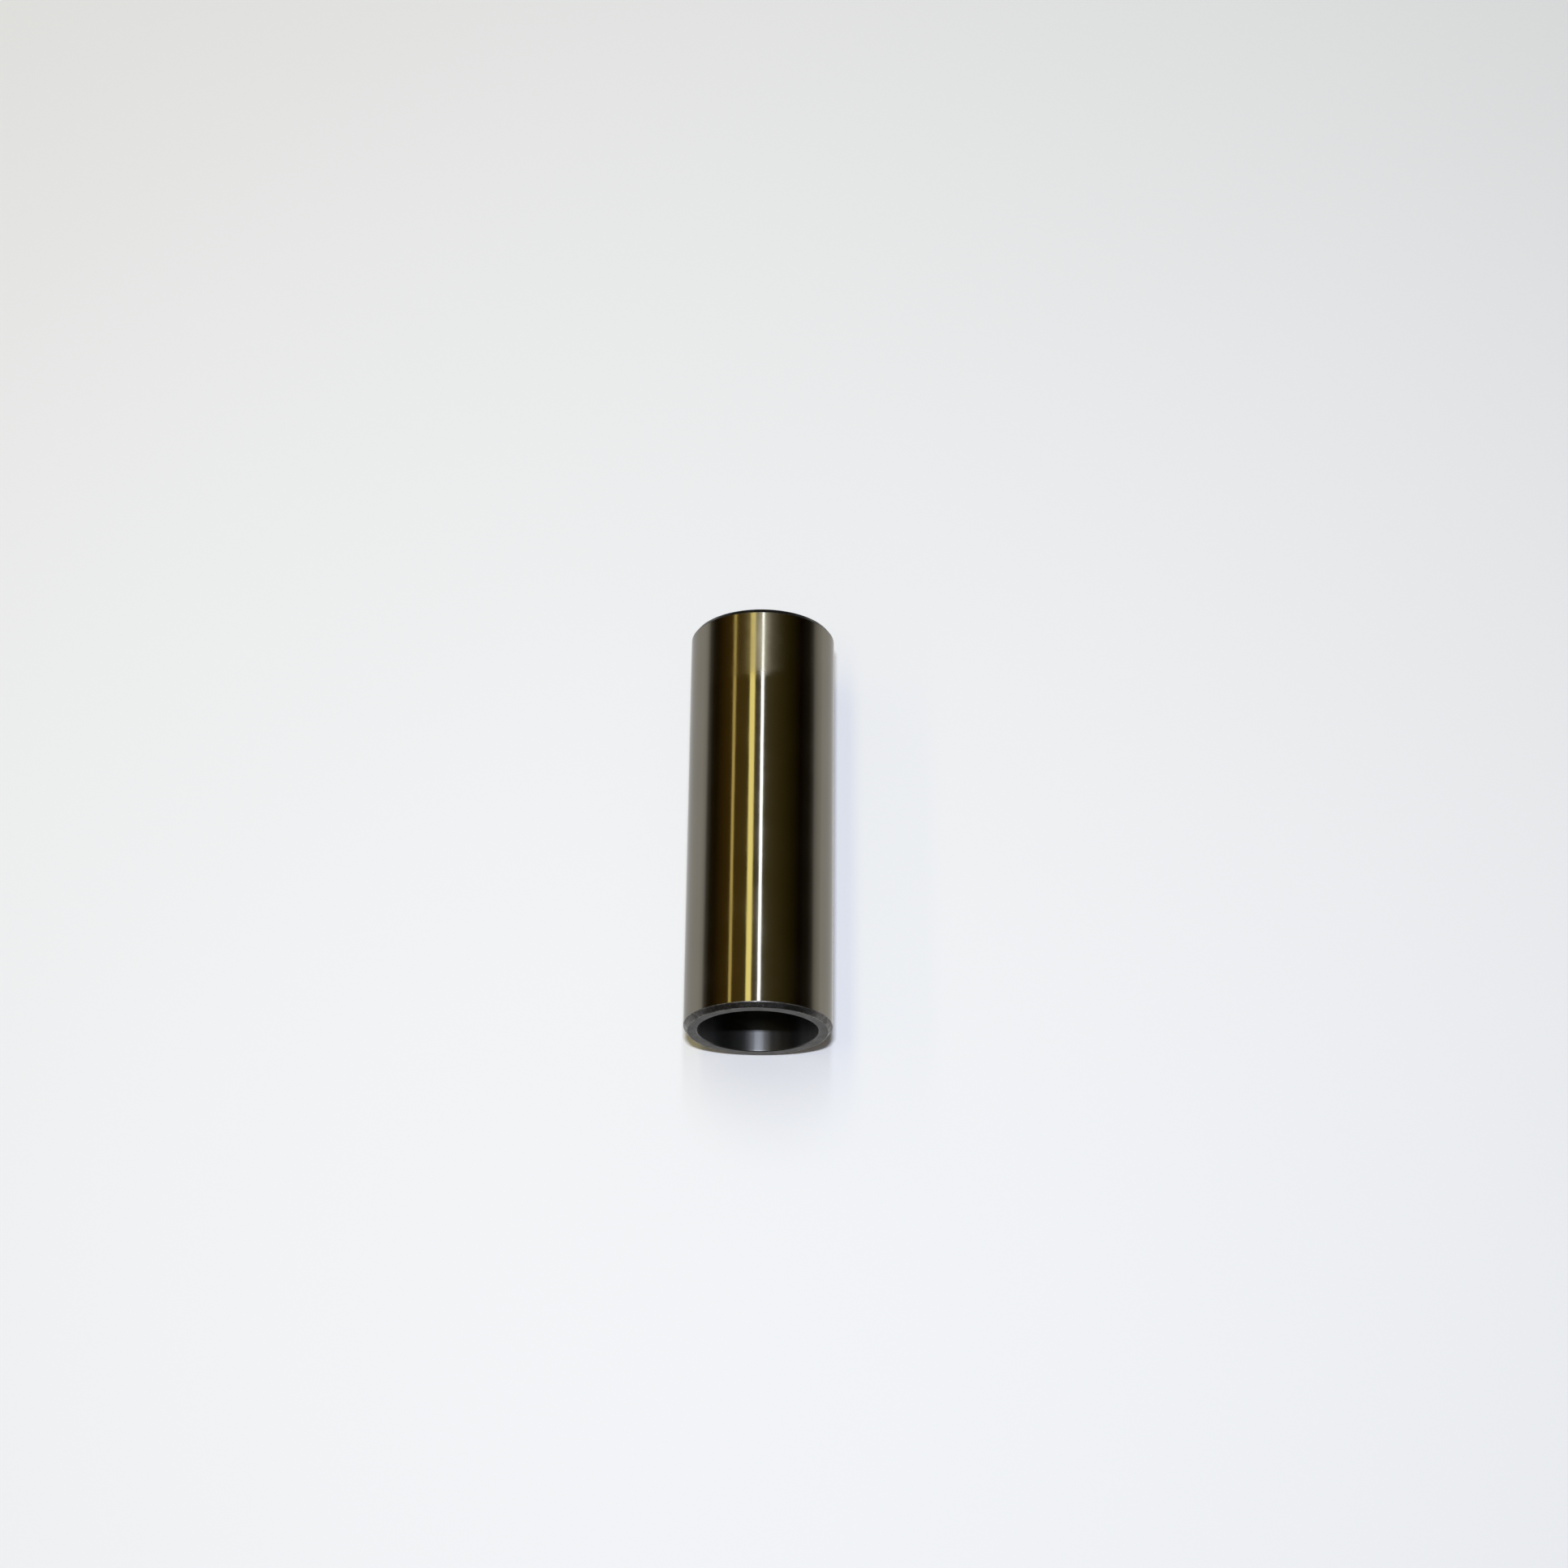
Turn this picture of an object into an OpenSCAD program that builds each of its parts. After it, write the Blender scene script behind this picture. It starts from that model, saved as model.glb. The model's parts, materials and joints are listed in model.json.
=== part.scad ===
// Gudgeon pin: a hollow hardened steel tube that joins a piston to its connecting rod.
// One turned and ground piece. It stands on its lower end face, with its axis on +Z.
// Sizes are in millimetres.

/* [Tube] */
// Diameter over the ground outside
outer_d = 24; // [22:0.5:40]
// Length over the two end faces
length = 70; // [20:0.5:140]
// Diameter of the straight bore that runs right through
bore_d = 19.5; // [4:0.5:21]

/* [Ends] */
// Length along the axis of the chamfer on each outer edge
chamfer_len = 0.8; // [0.4:0.1:2]
// Depth of that chamfer, measured across the axis
chamfer_depth = 0.6; // [0.4:0.1:1.5]
// Radius that blends the chamfer into the ground outside and into the end face
blend_r = 0.3; // [0.05:0.05:0.6]
// Chamfer that breaks the bore's edge at each end
bore_break = 0.15; // [0.05:0.05:0.8]

/* [Hidden] */
$fn = 180;

outer_r = outer_d / 2;
bore_r = bore_d / 2;
// Where the chamfer leaves the flat end face
face_r = outer_r - chamfer_depth;
// Where the flat end face ends at the broken edge of the bore
mouth_r = bore_r + bore_break;

// Half section of the wall, as radius and height, once round from the lower mouth.
// Each corner is a point and the radius that blends it; a radius of 0 stays sharp.
corners = [
    [[mouth_r, 0], 0],
    [[face_r, 0], blend_r],
    [[outer_r, chamfer_len], blend_r],
    [[outer_r, length - chamfer_len], blend_r],
    [[face_r, length], blend_r],
    [[mouth_r, length], 0],
    [[bore_r, length - bore_break], 0],
    [[bore_r, bore_break], 0]
];

// Point of a corner by its place in the list, which closes on itself
function point(i) = corners[(i + len(corners)) % len(corners)][0];

// Radius that blends a corner
function radius(i) = corners[i][1];

// Unit vector from one corner to another
function heading(from, to) = (point(to) - point(from)) / norm(point(to) - point(from));

// Half of the angle between the two sides that meet at a corner
function half_angle(i) = acos(heading(i, i - 1) * heading(i, i + 1)) / 2;

// Unit vector from a corner to the middle of its blend
function inward(i) =
    let (both = heading(i, i - 1) + heading(i, i + 1))
    both / norm(both);

// Where the blend of a corner touches its side towards a neighbour
function touch(i, neighbour) = point(i) + heading(i, neighbour) * radius(i) / tan(half_angle(i));

// Middle of the arc that blends a corner
function blend_centre(i) = point(i) + inward(i) * radius(i) / sin(half_angle(i));

// Arc of a blended corner, closed by the chord between its touch points.
// The cutting triangle reaches one radius past the corner, so it clears the arc.
module blend(i) {
    intersection() {
        translate(blend_centre(i)) circle(r = radius(i));
        polygon([touch(i, i - 1), point(i) - inward(i) * radius(i), touch(i, i + 1)]);
    }
}

// Wall of the tube: straight sides with each blended corner cut at its chord, then the arcs
module wall_section() {
    places = [0 : len(corners) - 1];
    polygon([
        for (i = places)
            each radius(i) > 0 ? [touch(i, i - 1), touch(i, i + 1)] : [point(i)]
    ]);
    for (i = places) {
        if (radius(i) > 0) blend(i);
    }
}

// The pin itself, the section turned once round its axis
module gudgeon_pin() {
    color([0.42, 0.40, 0.35])
        rotate_extrude() wall_section();
}

gudgeon_pin();
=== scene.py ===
"""Looks of the gudgeon pin: a hollow steel tube, ground outside and turned at its ends.

In the shared frame the pin stands on its lower end. The photograph looks past that end at a pin lying on
white paper, so the paper here is an upright sheet that touches the pin along its back, and the camera looks
up from below. The paper and the floor are one-sided: from behind or from below they show nothing, and the
pin stays in view from every side.
"""

import json
import math

import bmesh
import bpy
from mathutils import Euler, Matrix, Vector


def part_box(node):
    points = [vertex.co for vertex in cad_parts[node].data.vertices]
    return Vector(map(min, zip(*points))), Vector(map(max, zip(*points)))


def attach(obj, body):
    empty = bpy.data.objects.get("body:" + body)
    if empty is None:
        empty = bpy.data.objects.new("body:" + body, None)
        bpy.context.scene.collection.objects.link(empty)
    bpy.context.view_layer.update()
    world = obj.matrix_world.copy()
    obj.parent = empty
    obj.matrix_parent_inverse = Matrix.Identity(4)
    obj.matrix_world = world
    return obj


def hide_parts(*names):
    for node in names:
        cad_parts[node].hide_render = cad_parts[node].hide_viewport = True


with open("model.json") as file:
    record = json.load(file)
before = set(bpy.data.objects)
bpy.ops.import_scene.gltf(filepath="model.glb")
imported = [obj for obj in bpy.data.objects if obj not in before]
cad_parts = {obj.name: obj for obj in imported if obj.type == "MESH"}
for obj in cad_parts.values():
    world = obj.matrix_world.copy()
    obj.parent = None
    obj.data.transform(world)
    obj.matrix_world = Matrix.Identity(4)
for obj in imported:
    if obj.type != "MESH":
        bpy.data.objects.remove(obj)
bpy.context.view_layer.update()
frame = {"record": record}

MM = 0.001

# Sizes of the pin, from the frame where it holds them
NODE = "gudgeon_pin"
pin_low, pin_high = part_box(NODE)
LENGTH = pin_high.z - pin_low.z
OUTER_R = (pin_high.x - pin_low.x) / 2
MIDDLE = Vector((0, 0, LENGTH / 2))
mounts = {mount["name"]: mount for mount in frame["record"]["mounts"]}
BORE_R = mounts["through_bore"]["dims"]["r_mm"] * MM
CHAMFER_LEN = 0.8 * MM
CHAMFER_DEPTH = 0.6 * MM
BLEND_R = 0.3 * MM
BORE_BREAK = 0.15 * MM
# Wear that rounds the edges that were turned sharp: the face's inner edge, and the bore's own edge
WORN_FACE_R = 0.04 * MM
WORN_BORE_R = 0.25 * MM

# Fineness of the mesh: cuts round the axis, round a corner, along the long walls, across the end faces and
# the chamfers, and across the broken edges of the bore
TURN_CUTS = 384
CORNER_CUTS = 6
WALL_CUTS = 36
FACE_CUTS = 4
BREAK_CUTS = 1

# Colours of the finishes, each a darker and a lighter patch
GROUND_TONES = ((0.19, 0.176, 0.143), (0.22, 0.202, 0.164))
EDGE_TONES = ((0.075, 0.073, 0.071), (0.17, 0.165, 0.16))
FACE_TONES = ((0.035, 0.034, 0.033), (0.076, 0.074, 0.072))
BORE_TONES = ((0.117, 0.118, 0.119), (0.164, 0.165, 0.167))
# Roughness of the finishes, at the low and at the high end of the pattern that sets it
GROUND_ROUGHNESS = (0.105, 0.15)
EDGE_ROUGHNESS = (0.46, 0.32)
FACE_ROUGHNESS = (0.38, 0.5)
BORE_ROUGHNESS = (0.38, 0.46)
# Depth of the relief on the finishes
GROUND_RELIEF = 0.004 * MM
EDGE_RELIEF = 0.03 * MM
FACE_RELIEF = 0.015 * MM
BORE_RELIEF = 0.004 * MM
# Low and high end of a pattern: of most noises, of the smudges, and of the patches on edges and end faces
NOISE_SPAN = (0.3, 0.7)
SMUDGE_SPAN = (0.35, 0.75)
EDGE_SPAN = (0.38, 0.64)
FACE_SPAN = (0.36, 0.64)
# Factors on X, Y and Z that draw a noise out: round the axis where X and Y are small, along it where Z is
GROUND_LINES = (0.04, 0.04, 3.0)
GROUND_WAVES = (1.0, 1.0, 0.6)
EDGE_GROOVES = (0.08, 0.08, 6.0)
BORE_STREAKS = (1.0, 1.0, 0.05)
# Factors that leave only what lies across the axis
ACROSS_AXIS = (1.0, 1.0, 0.0)
# Roughness that fine lines add to the ground outside, and the share of a clean edge-on reflection it keeps
LINES_ROUGHNESS = 0.02
EDGE_ON_TINT = (0.8, 0.8, 0.8, 1)
# How uneven the gloss is on the two long walls, and the part of a turn that lays its spread along the axis
GROUND_ANISOTROPY = 0.8
BORE_ANISOTROPY = 0.74
QUARTER_TURN = 0.25
# Share of the bore that is bare metal
BORE_METALLIC = 0.97

# Hazy patch at the upper end, in millimetres up the pin: where it starts, how soft its edge is, how far
# that edge wanders, and how far it climbs for each millimetre towards +X
HAZE_HEIGHT = 57.9
HAZE_EDGE = 1.3
HAZE_WANDER = 3.5
HAZE_CLIMB = 0.1
# Roughness that the haze adds at the front, and the share of it that stays clear, at most and at least
HAZE_ROUGHNESS = 0.24
HAZE_CLEAR = (0.45, 0.33)
# Angles from the front between which the haze thins out, and the part of it that is left all round
HAZE_FRONT = (math.radians(11), math.radians(24))
HAZE_ROUND = 0.2
# Factors on the metal's colour without haze and in full haze. The warm one is a painted golden sheen
# that stands in for the golden lamp light the haze spreads
HAZE_SHEEN_TINTS = ((1.0, 1.0, 1.0), (1.04, 1.0, 0.84))

# Camera that took the photograph: its square picture and its focal length in pixels, its angles in degrees,
# its distance, and the point that it aims at
PICTURE_PX = 1932
FOCAL_PX = 4000
SENSOR_MM = 36
CAMERA_ELEVATION = -23.717
CAMERA_ROLL = 0.576
CAMERA_DISTANCE = 0.5378
CAMERA_AIM = Vector((3.797 * MM, 0, 43.4 * MM))

# Pale stage: its colour, and the paper's half width, lower edge and upper edge
PALE = (0.86, 0.86, 0.86, 1)
PAPER_HALF = 0.26
PAPER_BOTTOM = -0.25
PAPER_TOP = 0.24
# Round floor under the standing pin: where it starts to fade, its rim, where mirrors start to show it, how
# far below the pin it lies, and the cuts round it
FLOOR_FADE = 0.09
FLOOR_R = 0.15
FLOOR_MIRRORED_FROM = OUTER_R + 2 * MM
FLOOR_DROP = 0.02 * MM
FLOOR_CUTS = 128

# Dim room: its radius, how far the sides reach behind the pin, where the ceiling starts, and the cuts
# round it
ROOM_R = 1.0
ROOM_BACK = 0.36
ROOM_CEILING = 0.6
ROOM_CUTS = 96
# Heights between which the room lights up from its bottom and between which it dims again towards its top,
# with the share of its light at the bottom and at the top
ROOM_LOW = (-0.5 * ROOM_R, -0.2 * ROOM_R)
ROOM_LOW_SHARE = 0.1
ROOM_HIGH = (0.65 * ROOM_R, 0.85 * ROOM_R)
ROOM_HIGH_SHARE = 0.05
# Colours of the room by the angle from -Y towards +X, in degrees, which turn pale at both sides
ROOM_TONES = {
    -107: (0.86, 0.86, 0.86),
    -98: (0.7, 0.7, 0.69),
    -92: (0.17, 0.16, 0.14),
    -84: (0.04, 0.028, 0.012),
    -75: (0.03, 0.018, 0.003),
    -57: (0.12, 0.068, 0.011),
    -32: (0.2, 0.125, 0.022),
    8: (0.18, 0.15, 0.062),
    25: (0.12, 0.09, 0.024),
    45: (0.055, 0.042, 0.007),
    65: (0.01, 0.004, 0.001),
    81: (0.03, 0.026, 0.018),
    89: (0.11, 0.105, 0.095),
    95: (0.46, 0.45, 0.43),
    103: (0.66, 0.65, 0.63),
    112: (0.78, 0.78, 0.77),
}
# Place of -Y on the ramp that holds those colours
RAMP_FRONT = 0.5

# Key lamp: its angles from -Y towards +X and above the horizon, in degrees, its distance from the lower
# mouth, its width and height, its colour and its radiance
KEY_AZIMUTH = -0.8
KEY_ELEVATION = -10
KEY_DISTANCE = 0.62
KEY_SIZE = (0.05, 0.0165)
KEY_COLOUR = (0.83, 0.875, 1.0)
KEY_RADIANCE = 1120
# Distance of the other lamps
LAMP_DISTANCE = 0.75
# Upright strips: where they start and end, and for each its angle from -Y and its spread seen from the pin,
# both in degrees, its colour and its radiance
STRIP_BOTTOM = -0.22
STRIP_TOP = 0.635
STRIPS = {
    "strip_white": (1.0, 3.6, (0.78, 0.86, 1.0), 11.0),
    "strip_gold": (-15.0, 8.1, (1.0, 0.89, 0.33), 3.4),
    "strip_far_gold": (-44.2, 4.3, (1.0, 0.81, 0.28), 1.7),
}
# Soft lamp for the floor: its angles in degrees, its side, its colour and its radiance
SOFTBOX_AZIMUTH = -35
SOFTBOX_ELEVATION = 50
SOFTBOX_SIDE = 0.35
SOFTBOX_COLOUR = (0.95, 0.97, 1.0)
SOFTBOX_RADIANCE = 14
# Dim light from all round
FILL_COLOUR = (1.0, 0.92, 0.85, 1)
FILL_STRENGTH = 0.13

# Sockets of a mix node that take the two colours and give their blend
MIX_FIRST = 6
MIX_SECOND = 7
MIX_RESULT = 2


def add_node(tree, kind, inputs=None, **settings):
    """Adds a shader node with its settings, and sets each input or links it where the value is a socket."""
    made = tree.nodes.new(kind)
    for name, value in settings.items():
        setattr(made, name, value)
    for socket, value in (inputs or {}).items():
        if isinstance(value, bpy.types.NodeSocket):
            tree.links.new(value, made.inputs[socket])
        else:
            made.inputs[socket].default_value = value
    return made


def maths(tree, operation, *values):
    """Output of a maths node that works on the values, each a number or a socket."""
    return add_node(tree, "ShaderNodeMath", dict(enumerate(values)), operation=operation).outputs[0]


def vector_maths(tree, operation, inputs):
    """Output of a vector maths node, a vector."""
    return add_node(tree, "ShaderNodeVectorMath", inputs, operation=operation).outputs[0]


def remap(tree, value, old, new=(0.0, 1.0)):
    """Output that runs smoothly from one pair of values to another and stops at its ends."""
    inputs = dict(enumerate((value, *old, *new)))
    return add_node(tree, "ShaderNodeMapRange", inputs, interpolation_type="SMOOTHSTEP").outputs[0]


def noise(tree, point, per_mm, detail=2.0):
    """Output of a noise texture, near 0 to 1, on a point in millimetres."""
    inputs = {"Vector": point, "Scale": per_mm, "Detail": detail}
    return add_node(tree, "ShaderNodeTexNoise", inputs).outputs["Fac"]


def weighted_sum(tree, *pairs):
    """Output with the sum of the sockets, each times its weight."""
    total = 0.0
    for socket, weight in pairs:
        total = maths(tree, "MULTIPLY_ADD", socket, weight, total)
    return total


def blend_colours(tree, factor, tones):
    """Output that mixes a pair of colours by a factor from 0 to 1."""
    first, second = tones
    inputs = {"Factor": factor, MIX_FIRST: (*first, 1), MIX_SECOND: (*second, 1)}
    return add_node(tree, "ShaderNodeMix", inputs, data_type="RGBA").outputs[MIX_RESULT]


def bump(tree, height, depth):
    """Normal output for a height from 0 to 1 that stands for a depth in metres."""
    return add_node(tree, "ShaderNodeBump", {"Height": height, "Distance": depth}).outputs["Normal"]


def new_material(name):
    """Material with an empty node tree and an output node."""
    material = bpy.data.materials.new(name)
    material.use_nodes = True
    tree = material.node_tree
    tree.nodes.clear()
    return material, tree, tree.nodes.new("ShaderNodeOutputMaterial")


def show(tree, output, shader):
    """Makes a shader the surface of its material or world."""
    tree.links.new(shader.outputs[0], output.inputs["Surface"])


def mix_shaders(tree, share, first, second):
    """Shader that mixes two others by the share of the second."""
    return add_node(tree, "ShaderNodeMixShader", {0: share, 1: first.outputs[0], 2: second.outputs[0]})


def metal(tree, colour, roughness, normal, **constants):
    """Metal shader with the given colour, roughness and normal, and constants on its own sockets."""
    inputs = {"Base Color": colour, "Roughness": roughness, "Normal": normal, "Metallic": 1.0}
    inputs.update(constants)
    return add_node(tree, "ShaderNodeBsdfPrincipled", inputs)


def point_in_mm(tree):
    """Output with the place on the pin in millimetres."""
    place = add_node(tree, "ShaderNodeTexCoord").outputs["Object"]
    return vector_maths(tree, "SCALE", {0: place, "Scale": 1 / MM})


def stretched(tree, point, factors):
    """Output with a point scaled by three factors, which draws a noise out along the small ones."""
    return vector_maths(tree, "MULTIPLY", {0: point, 1: factors})


def length_of(tree, vector):
    """Output with the length of a vector."""
    return add_node(tree, "ShaderNodeVectorMath", {0: vector}, operation="LENGTH").outputs["Value"]


def angle_from_front(tree, axes):
    """Output with the angle of a place round the axis, from -Y towards +X, in radians."""
    return maths(tree, "ARCTAN2", axes["X"], maths(tree, "MULTIPLY", axes["Y"], -1.0))


def lines_run_round(tree, shader):
    """Turns a shader's uneven gloss so that it spreads along the axis, as lines cut round it make it do."""
    shader.inputs["Anisotropic Rotation"].default_value = QUARTER_TURN
    round_axis = add_node(tree, "ShaderNodeTangent", direction_type="RADIAL", axis="Z")
    tree.links.new(round_axis.outputs[0], shader.inputs["Tangent"])


def haze_at(tree, point, smudges, blots):
    """Output from 0 to 1 for the haze and its painted golden sheen: full above its ragged edge at the
    front, and thin further round.
    """
    axes = add_node(tree, "ShaderNodeSeparateXYZ", {0: point}).outputs
    straight = weighted_sum(tree, (axes["Z"], 1.0), (axes["X"], -HAZE_CLIMB))
    ragged = weighted_sum(tree, (straight, 1.0), (smudges, HAZE_WANDER / 2), (blots, HAZE_WANDER / 2))
    edge = HAZE_HEIGHT + HAZE_WANDER / 2
    band = remap(tree, ragged, (edge - HAZE_EDGE, edge + HAZE_EDGE))
    off_front = maths(tree, "ABSOLUTE", angle_from_front(tree, axes))
    return maths(tree, "MULTIPLY", band, remap(tree, off_front, HAZE_FRONT, (1.0, HAZE_ROUND)))


def ground_outside():
    """Ground and lapped cylinder: a near mirror with fine lines round it, and hazy at the upper end. The
    haze carries a painted golden sheen in the metal's colour.
    """
    material, tree, output = new_material("ground_outside")
    point = point_in_mm(tree)
    lines = noise(tree, stretched(tree, point, GROUND_LINES), per_mm=1.0, detail=3.0)
    smudges = noise(tree, point, per_mm=0.12, detail=3.0)
    blots = noise(tree, point, per_mm=0.45, detail=3.0)
    waves = noise(tree, stretched(tree, point, GROUND_WAVES), per_mm=0.35, detail=1.0)
    haze = haze_at(tree, point, smudges, blots)

    colour = blend_colours(tree, smudges, GROUND_TONES)
    # The warm tint that the haze gives the colour is a painted golden sheen of the lamps' light
    sheen_tinted = vector_maths(tree, "MULTIPLY", {0: colour, 1: blend_colours(tree, haze, HAZE_SHEEN_TINTS)})
    polish = remap(tree, smudges, SMUDGE_SPAN, GROUND_ROUGHNESS)
    roughness = weighted_sum(tree, (polish, 1.0), (lines, LINES_ROUGHNESS))
    hazed = weighted_sum(tree, (roughness, 1.0), (haze, HAZE_ROUGHNESS))
    normal = bump(tree, weighted_sum(tree, (lines, 0.25), (waves, 1.0)), GROUND_RELIEF)
    gloss = {"Anisotropic": GROUND_ANISOTROPY, "Specular Tint": EDGE_ON_TINT}
    hazy = metal(tree, sheen_tinted, hazed, normal, **gloss)
    clear = metal(tree, colour, roughness, normal, **gloss)
    lines_run_round(tree, hazy)
    lines_run_round(tree, clear)
    show(tree, output, mix_shaders(tree, remap(tree, blots, NOISE_SPAN, HAZE_CLEAR), hazy, clear))
    return material


def turned_edge():
    """Chamfers and their blends: turned before hardening, so dark and mottled."""
    material, tree, output = new_material("turned_edge")
    point = point_in_mm(tree)
    mottle = noise(tree, point, per_mm=0.6, detail=4.0)
    specks = noise(tree, point, per_mm=2.2)
    grooves = noise(tree, stretched(tree, point, EDGE_GROOVES), per_mm=1.0)
    patches = weighted_sum(tree, (mottle, 0.6), (specks, 0.4))
    colour = blend_colours(tree, remap(tree, patches, EDGE_SPAN), EDGE_TONES)
    roughness = remap(tree, mottle, NOISE_SPAN, EDGE_ROUGHNESS)
    relief = weighted_sum(tree, (mottle, 1.0), (specks, 0.3), (grooves, 0.4))
    show(tree, output, metal(tree, colour, roughness, bump(tree, relief, EDGE_RELIEF)))
    return material


def faced_end():
    """Flat end faces: neutral grey, blotched, with the rings that the facing tool left."""
    material, tree, output = new_material("faced_end")
    point = point_in_mm(tree)
    radius = length_of(tree, stretched(tree, point, ACROSS_AXIS))
    rings = noise(tree, add_node(tree, "ShaderNodeCombineXYZ", {0: radius}).outputs[0], per_mm=5.0)
    mottle = noise(tree, point, per_mm=0.7, detail=4.0)
    patches = weighted_sum(tree, (mottle, 0.65), (rings, 0.35))
    colour = blend_colours(tree, remap(tree, patches, FACE_SPAN), FACE_TONES)
    roughness = remap(tree, rings, NOISE_SPAN, FACE_ROUGHNESS)
    relief = weighted_sum(tree, (rings, 1.0), (mottle, 0.6))
    show(tree, output, metal(tree, colour, roughness, bump(tree, relief, FACE_RELIEF)))
    return material


def bored_inside():
    """Bore: dull dark grey, with faint streaks along it and the gloss of fine lines that run round it."""
    material, tree, output = new_material("bored_inside")
    point = point_in_mm(tree)
    streaks = noise(tree, stretched(tree, point, BORE_STREAKS), per_mm=1.6, detail=3.0)
    stains = noise(tree, point, per_mm=0.25, detail=3.0)
    colour = blend_colours(tree, stains, BORE_TONES)
    roughness = remap(tree, streaks, NOISE_SPAN, BORE_ROUGHNESS)
    normal = bump(tree, streaks, BORE_RELIEF)
    shader = metal(tree, colour, roughness, normal, Anisotropic=BORE_ANISOTROPY, Metallic=BORE_METALLIC)
    lines_run_round(tree, shader)
    show(tree, output, shader)
    return material


def section_corners():
    """Corners of the wall's half section, once round from the lower mouth.

    Each is a point of radius and height, the radius that rounds it, the finish of that rounding, the finish
    of the side that follows it, and the cuts along that side.
    """
    face_r = OUTER_R - CHAMFER_DEPTH
    mouth_r = BORE_R + BORE_BREAK
    return [
        (Vector((mouth_r, 0)), WORN_FACE_R, "edge", "face", FACE_CUTS),
        (Vector((face_r, 0)), BLEND_R, "edge", "edge", FACE_CUTS),
        (Vector((OUTER_R, CHAMFER_LEN)), BLEND_R, "edge", "outside", WALL_CUTS),
        (Vector((OUTER_R, LENGTH - CHAMFER_LEN)), BLEND_R, "edge", "edge", FACE_CUTS),
        (Vector((face_r, LENGTH)), BLEND_R, "edge", "face", FACE_CUTS),
        (Vector((mouth_r, LENGTH)), WORN_FACE_R, "edge", "edge", BREAK_CUTS),
        (Vector((BORE_R, LENGTH - BORE_BREAK)), WORN_BORE_R, "bore", "bore", WALL_CUTS),
        (Vector((BORE_R, BORE_BREAK)), WORN_BORE_R, "bore", "edge", BREAK_CUTS),
    ]


def rounded_corner(before, corner, after, radius):
    """Points and outward directions along the arc that rounds a corner between its two neighbours."""
    to_before = (before - corner).normalized()
    to_after = (after - corner).normalized()
    half_angle = to_before.angle(to_after) / 2
    inward = (to_before + to_after).normalized()
    centre = corner + inward * radius / math.sin(half_angle)
    first = corner + to_before * radius / math.tan(half_angle) - centre
    last = corner + to_after * radius / math.tan(half_angle) - centre
    # The directions that slerp gives have a length of 1
    directions = [first.slerp(last, cut / CORNER_CUTS) for cut in range(CORNER_CUTS + 1)]
    return [(centre + direction * radius, direction) for direction in directions]


def wall_section():
    """Points, outward directions and following finishes, once round the wall's half section."""
    corners = section_corners()
    arcs = []
    for place, (point, radius, _, _, _) in enumerate(corners):
        before = corners[place - 1][0]
        after = corners[(place + 1) % len(corners)][0]
        arcs.append(rounded_corner(before, point, after, radius))
    section = []
    for place, (_, _, corner_finish, side_finish, cuts) in enumerate(corners):
        arc = arcs[place]
        section += [(point, outward, corner_finish) for point, outward in arc[:-1]]
        start, outward = arc[-1]
        end = arcs[(place + 1) % len(arcs)][0][0]
        section += [(start.lerp(end, cut / cuts), outward, side_finish) for cut in range(cuts)]
    return section


def turned_points(section):
    """Points and normals of a section turned once round the axis, cut by cut."""
    points = []
    normals = []
    for cut in range(TURN_CUTS):
        # The first cut, where the map has its seam, is at the back of the pin, on +Y
        turn = math.tau * cut / TURN_CUTS
        side = Vector((math.sin(turn), math.cos(turn), 0))
        for (radius, height), (outward, upward), _ in section:
            points.append(side * radius + Vector((0, 0, height)))
            normals.append(side * outward + Vector((0, 0, upward)))
    return points, normals


def turned_faces(rings):
    """Faces between each cut and the next, in the order of the rings, by the places of their points."""
    faces = []
    for cut in range(TURN_CUTS):
        here = cut * rings
        there = (cut + 1) % TURN_CUTS * rings
        for ring in range(rings):
            following = (ring + 1) % rings
            faces.append((here + ring, here + following, there + following, there + ring))
    return faces


def map_flat(mesh, section):
    """Maps a turned mesh like a flat sheet, with the turn across it and the section up it."""
    rings = len(section)
    points = [point for point, _, _ in section]
    lengths = [(points[(ring + 1) % rings] - points[ring]).length for ring in range(rings)]
    along = [sum(lengths[:ring]) / sum(lengths) for ring in range(rings)] + [1.0]
    sheet = mesh.uv_layers.new(name="OFBake")
    for polygon in mesh.polygons:
        cut, ring = divmod(polygon.index, rings)
        near = cut / TURN_CUTS
        far = (cut + 1) / TURN_CUTS
        places = [(near, along[ring]), (near, along[ring + 1]), (far, along[ring + 1]), (far, along[ring])]
        for loop, place in zip(polygon.loop_indices, places):
            sheet.data[loop].uv = place


def turned_mesh(name, section, finishes):
    """Mesh of a section turned once round the axis, with true normals, a flat map and its finishes."""
    points, normals = turned_points(section)
    mesh = bpy.data.meshes.new(name)
    mesh.from_pydata(points, [], turned_faces(len(section)))
    map_flat(mesh, section)
    order = list(finishes)
    for polygon in mesh.polygons:
        _, _, finish = section[polygon.index % len(section)]
        polygon.use_smooth = True
        polygon.material_index = order.index(finish)
    mesh.normals_split_custom_set_from_vertices(normals)
    for material in finishes.values():
        mesh.materials.append(material)
    return mesh


def make_pin():
    """The pin: one turned piece with a finish for each of its surfaces."""
    finishes = {
        "outside": ground_outside(),
        "edge": turned_edge(),
        "face": faced_end(),
        "bore": bored_inside(),
    }
    pin = bpy.data.objects.new("ground_tube", turned_mesh("ground_tube", wall_section(), finishes))
    bpy.context.scene.collection.objects.link(pin)
    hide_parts(NODE)
    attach(pin, "root")


def add_stage(name, mesh, material):
    """Object of the stage, which isn't part of the pin."""
    made = bpy.data.objects.new(name, mesh)
    mesh.materials.append(material)
    bpy.context.scene.collection.objects.link(made)
    return made


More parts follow.
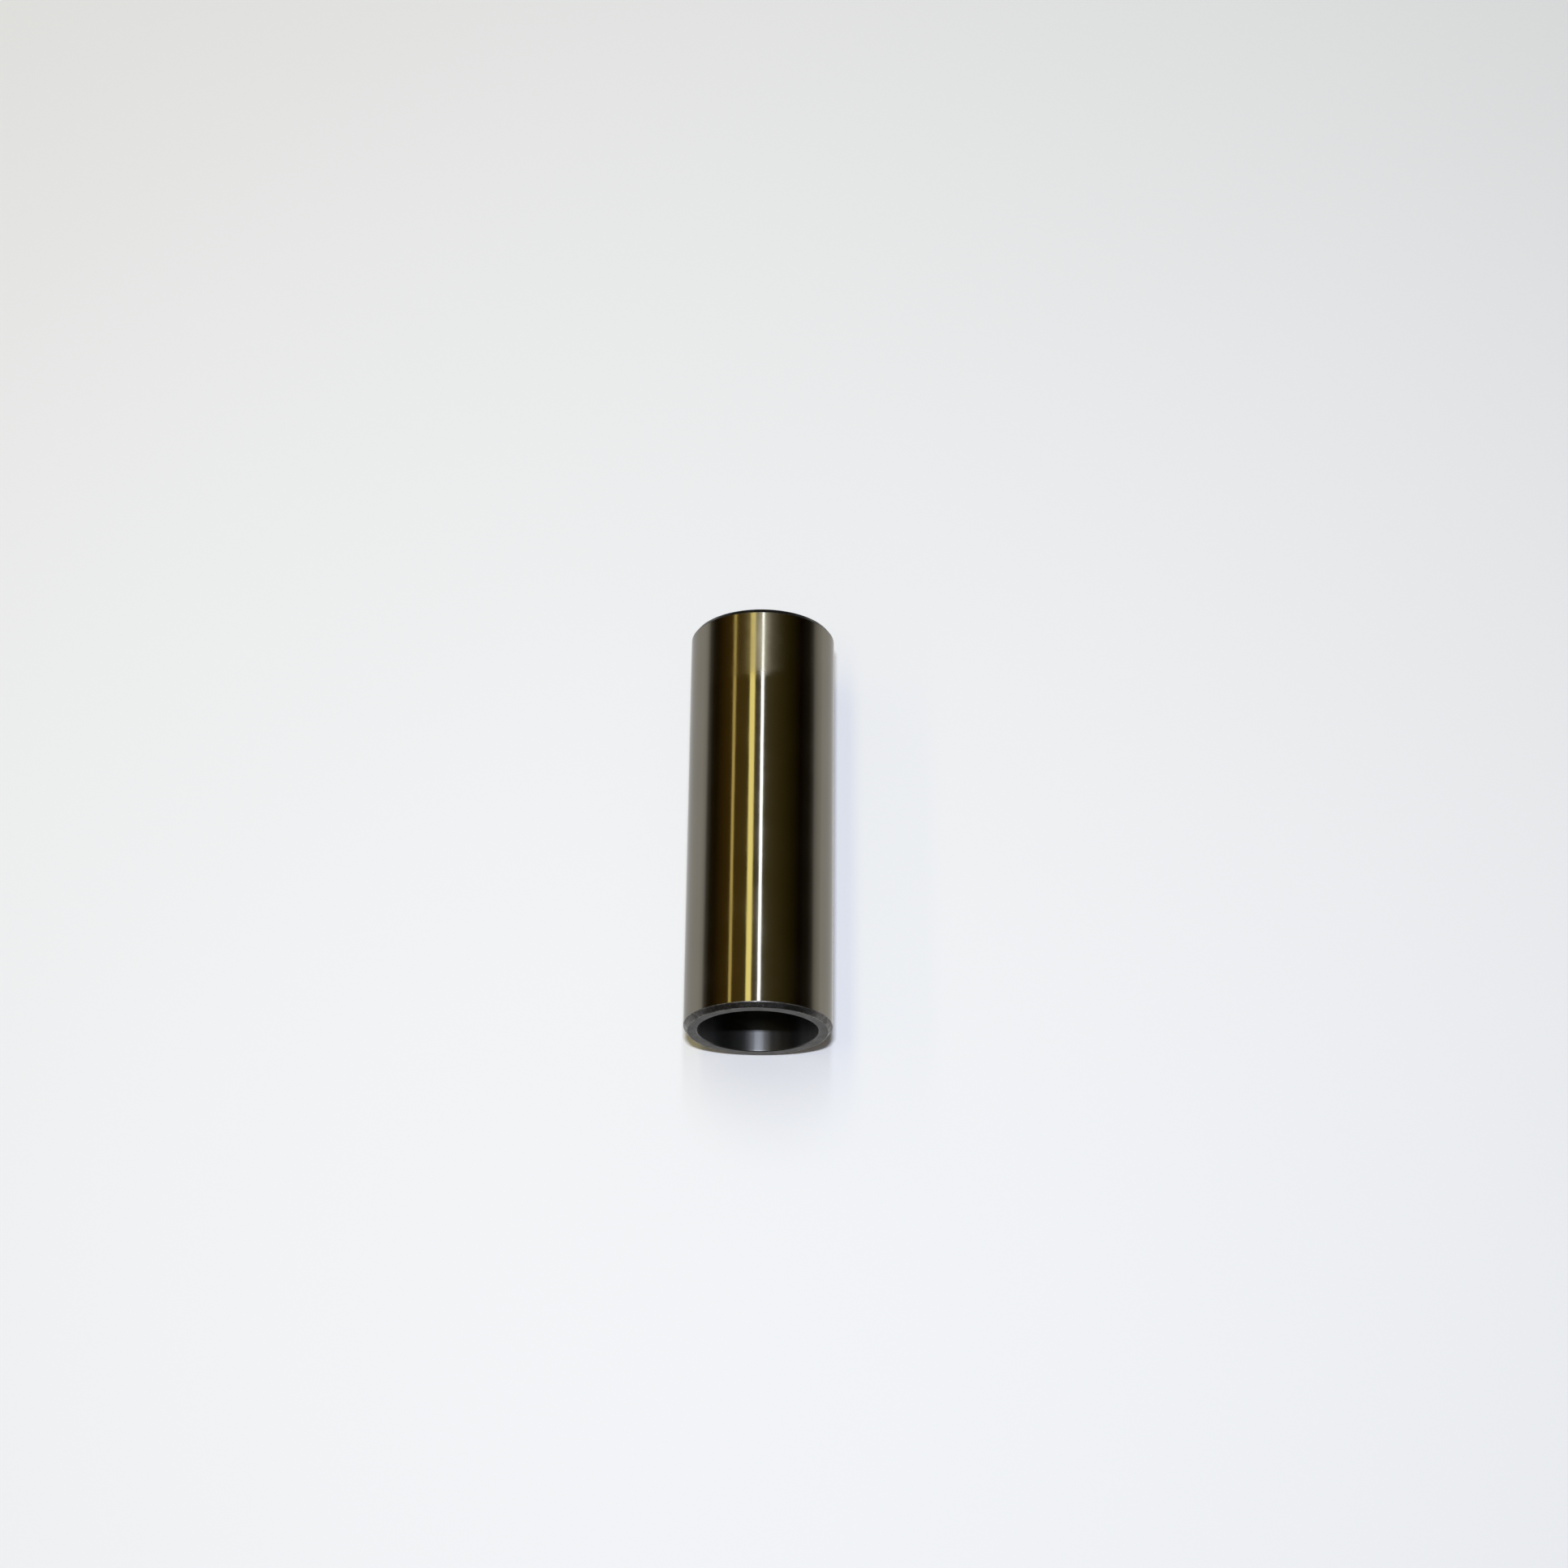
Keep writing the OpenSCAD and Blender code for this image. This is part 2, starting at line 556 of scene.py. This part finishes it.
def pale_front(tree, output, hidden):
    """Pale matt surface that lets everything through where hidden is 1."""
    front = add_node(tree, "ShaderNodeBsdfDiffuse", {"Color": PALE})
    clear = add_node(tree, "ShaderNodeBsdfTransparent")
    show(tree, output, mix_shaders(tree, hidden, front, clear))


def backfacing(tree):
    """Output that is 1 where a surface is met from behind."""
    return add_node(tree, "ShaderNodeNewGeometry").outputs["Backfacing"]


def make_paper():
    """White paper that the pin lies against. Mirrors show the pale surroundings in its place."""
    material, tree, output = new_material("paper")
    pale_front(tree, output, backfacing(tree))
    corners = [
        (-PAPER_HALF, OUTER_R, PAPER_BOTTOM),
        (PAPER_HALF, OUTER_R, PAPER_BOTTOM),
        (PAPER_HALF, OUTER_R, PAPER_TOP),
        (-PAPER_HALF, OUTER_R, PAPER_TOP),
    ]
    mesh = bpy.data.meshes.new("paper")
    mesh.from_pydata(corners, [], [(0, 1, 2, 3)])
    paper = add_stage("paper", mesh, material)
    paper.visible_glossy = False
    paper.visible_diffuse = False
    paper.visible_shadow = False


def make_floor():
    """Round floor under the standing pin. It fades into the surroundings and throws nothing on the pin.

    Mirrors show it only some way off, so that the lower end can mirror the paper.
    """
    material, tree, output = new_material("floor")
    away = length_of(tree, add_node(tree, "ShaderNodeTexCoord").outputs["Object"])
    faded = remap(tree, away, (FLOOR_FADE, FLOOR_R))
    path = add_node(tree, "ShaderNodeLightPath").outputs
    not_camera = maths(tree, "SUBTRACT", 1.0, path["Is Camera Ray"])
    close = maths(tree, "MULTIPLY", not_camera, maths(tree, "LESS_THAN", away, FLOOR_MIRRORED_FROM))
    hidden = maths(tree, "MAXIMUM", backfacing(tree), maths(tree, "MAXIMUM", faded, close))
    pale_front(tree, output, hidden)

    disc = bmesh.new()
    bmesh.ops.create_circle(disc, cap_ends=True, segments=FLOOR_CUTS, radius=FLOOR_R)
    mesh = bpy.data.meshes.new("floor")
    disc.to_mesh(mesh)
    disc.free()
    floor = add_stage("floor", mesh, material)
    floor.location.z = -FLOOR_DROP
    floor.visible_diffuse = False
    floor.visible_shadow = False
    return floor


def room_light():
    """Light of the room's shell, by the angle round the pin and by height."""
    material, tree, output = new_material("room")
    place = add_node(tree, "ShaderNodeTexCoord").outputs["Object"]
    axes = add_node(tree, "ShaderNodeSeparateXYZ", {0: place}).outputs
    share = maths(tree, "MULTIPLY_ADD", angle_from_front(tree, axes), 1 / math.tau, RAMP_FRONT)
    ramp = add_node(tree, "ShaderNodeValToRGB", {0: share})
    # A new ramp has a stop at either end, of which the first is enough for the back
    stops = ramp.color_ramp.elements
    stops.remove(stops[1])
    stops[0].color = PALE
    for degrees, tone in ROOM_TONES.items():
        stops.new(RAMP_FRONT + degrees / 360).color = (*tone, 1)
    # The room is darker low down, where the bore looks at it, and overhead, where the upper chamfer does
    above_bottom = remap(tree, axes["Z"], ROOM_LOW, (ROOM_LOW_SHARE, 1.0))
    below_top = remap(tree, axes["Z"], ROOM_HIGH, (1.0, ROOM_HIGH_SHARE))
    inputs = {"Color": ramp.outputs[0], "Strength": maths(tree, "MULTIPLY", above_bottom, below_top)}
    show(tree, output, add_node(tree, "ShaderNodeEmission", inputs))
    # Rays find the shell by themselves, so it needs no samples as a lamp
    material.cycles.emission_sampling = "NONE"
    return material


def make_room():
    """Dim room in front of the paper, which only the pin's surface mirrors. It lights nothing matt."""
    shell = bmesh.new()
    bmesh.ops.create_uvsphere(shell, u_segments=ROOM_CUTS, v_segments=ROOM_CUTS // 2, radius=ROOM_R)
    behind = [vertex for vertex in shell.verts if vertex.co.y > ROOM_BACK and vertex.co.z < ROOM_CEILING]
    bmesh.ops.delete(shell, geom=behind, context="VERTS")
    mesh = bpy.data.meshes.new("room")
    shell.to_mesh(mesh)
    shell.free()
    room = add_stage("room", mesh, room_light())
    room.location = MIDDLE
    room.visible_camera = False
    room.visible_diffuse = False


def add_lamp(name, place, way, size, colour, radiance):
    """Rectangular lamp that shines against a direction.

    Its radiance is its power divided by pi and by its area.
    """
    width, height = size
    light = bpy.data.lights.new(name, "AREA")
    light.shape = "RECTANGLE"
    light.size = width
    light.size_y = height
    light.color = colour
    light.energy = math.pi * width * height * radiance
    lamp = bpy.data.objects.new(name, light)
    lamp.location = place
    lamp.rotation_euler = way.to_track_quat("Z", "Y").to_euler()
    lamp.visible_camera = False
    bpy.context.scene.collection.objects.link(lamp)
    return lamp


def front_direction(azimuth, elevation=0.0):
    """Direction from the pin by its angles from -Y towards +X and above the horizon, in degrees."""
    turn = math.radians(azimuth)
    rise = math.radians(elevation)
    return Vector((math.sin(turn) * math.cos(rise), -math.cos(turn) * math.cos(rise), math.sin(rise)))


def make_key():
    """Small key lamp near the camera, placed from the lower mouth. It draws the shadow line in the bore."""
    way = front_direction(KEY_AZIMUTH, KEY_ELEVATION)
    add_lamp("key", way * KEY_DISTANCE, way, KEY_SIZE, KEY_COLOUR, KEY_RADIANCE)


def make_strips():
    """Upright strips that draw the bright streaks along the pin."""
    middle = Vector((0, 0, (STRIP_BOTTOM + STRIP_TOP) / 2))
    for name, (azimuth, spread, colour, radiance) in STRIPS.items():
        way = front_direction(azimuth)
        width = 2 * LAMP_DISTANCE * math.tan(math.radians(spread) / 2)
        size = (width, STRIP_TOP - STRIP_BOTTOM)
        add_lamp(name, way * LAMP_DISTANCE + middle, way, size, colour, radiance)


def make_softbox(floor):
    """Soft lamp that lights only the floor, for the pin's shadow there."""
    way = front_direction(SOFTBOX_AZIMUTH, SOFTBOX_ELEVATION)
    size = (SOFTBOX_SIDE, SOFTBOX_SIDE)
    softbox = add_lamp("softbox", way * LAMP_DISTANCE, way, size, SOFTBOX_COLOUR, SOFTBOX_RADIANCE)
    lit = bpy.data.collections.new("lit_by_softbox")
    lit.objects.link(floor)
    softbox.light_linking.receiver_collection = lit


def make_world():
    """Pale surroundings for what the camera and mirrors see, and a dim fill otherwise."""
    world = bpy.data.worlds.new("world")
    bpy.context.scene.world = world
    world.use_nodes = True
    tree = world.node_tree
    tree.nodes.clear()
    path = add_node(tree, "ShaderNodeLightPath").outputs
    mirrored = maths(tree, "MAXIMUM", path["Is Glossy Ray"], path["Is Transmission Ray"])
    seen = maths(tree, "MAXIMUM", path["Is Camera Ray"], mirrored)
    fill = add_node(tree, "ShaderNodeBackground", {"Color": FILL_COLOUR, "Strength": FILL_STRENGTH})
    pale = add_node(tree, "ShaderNodeBackground", {"Color": PALE, "Strength": 1.0})
    output = tree.nodes.new("ShaderNodeOutputWorld")
    show(tree, output, mix_shaders(tree, seen, fill, pale))


def make_camera():
    """Camera at the photograph's viewing angle."""
    data = bpy.data.cameras.new("camera")
    data.sensor_width = SENSOR_MM
    data.lens = SENSOR_MM * FOCAL_PX / PICTURE_PX
    camera = bpy.data.objects.new("camera", data)
    back = front_direction(0, CAMERA_ELEVATION)
    camera.location = CAMERA_AIM + back * CAMERA_DISTANCE
    upright = back.to_track_quat("Z", "Y")
    camera.rotation_mode = "QUATERNION"
    camera.rotation_quaternion = upright @ Euler((0, 0, math.radians(CAMERA_ROLL))).to_quaternion()
    bpy.context.scene.collection.objects.link(camera)
    bpy.context.scene.camera = camera


bpy.context.scene.view_settings.view_transform = "Standard"
make_camera()
make_pin()
make_paper()
make_room()
make_key()
make_strips()
make_softbox(make_floor())
make_world()
